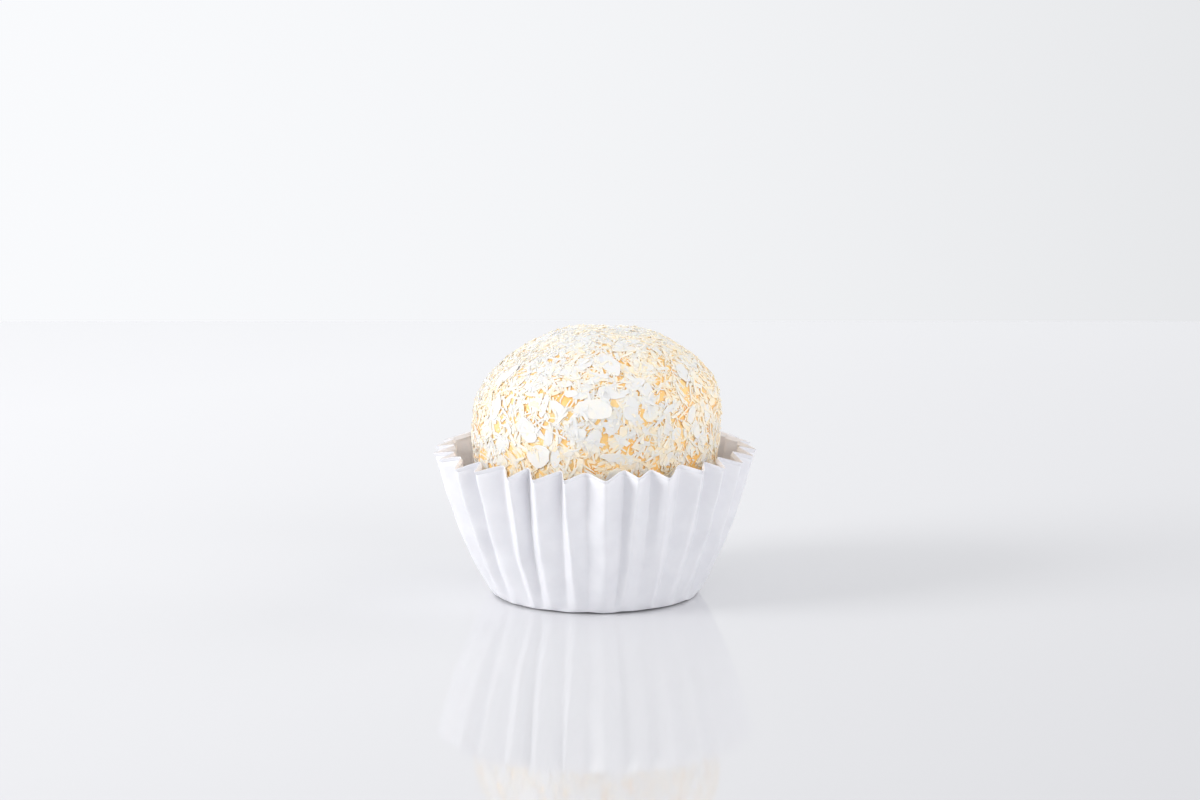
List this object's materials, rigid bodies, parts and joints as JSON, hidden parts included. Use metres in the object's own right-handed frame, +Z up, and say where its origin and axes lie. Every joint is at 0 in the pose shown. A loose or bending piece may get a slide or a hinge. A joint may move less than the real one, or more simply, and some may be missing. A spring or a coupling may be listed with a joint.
{
  "type": "coconut brigadeiro in a paper case",
  "caption": "Hand-rolled coconut brigadeiro, a soft milk sweet coated in grated coconut, standing in its fluted white paper case.",
  "frame": {"origin": "under the middle of the paper case, on the surface it stands on", "axes": "+Z up through the ball's crown, which is also the shortest way through the part; -Y is the side the picture shows"},
  "size_m": [0.0402, 0.0399, 0.0334],
  "materials": {
    "coconut_coating": "soft cream-yellow sweet under white flakes and shreds of dried coconut, matte",
    "white_paper": "thin white greaseproof paper, satin, slightly see-through"
  },
  "bodies": {
    "root": {"brigadeiro_ball": "coconut_coating", "paper_case": "white_paper"}
  },
  "joints": []
}
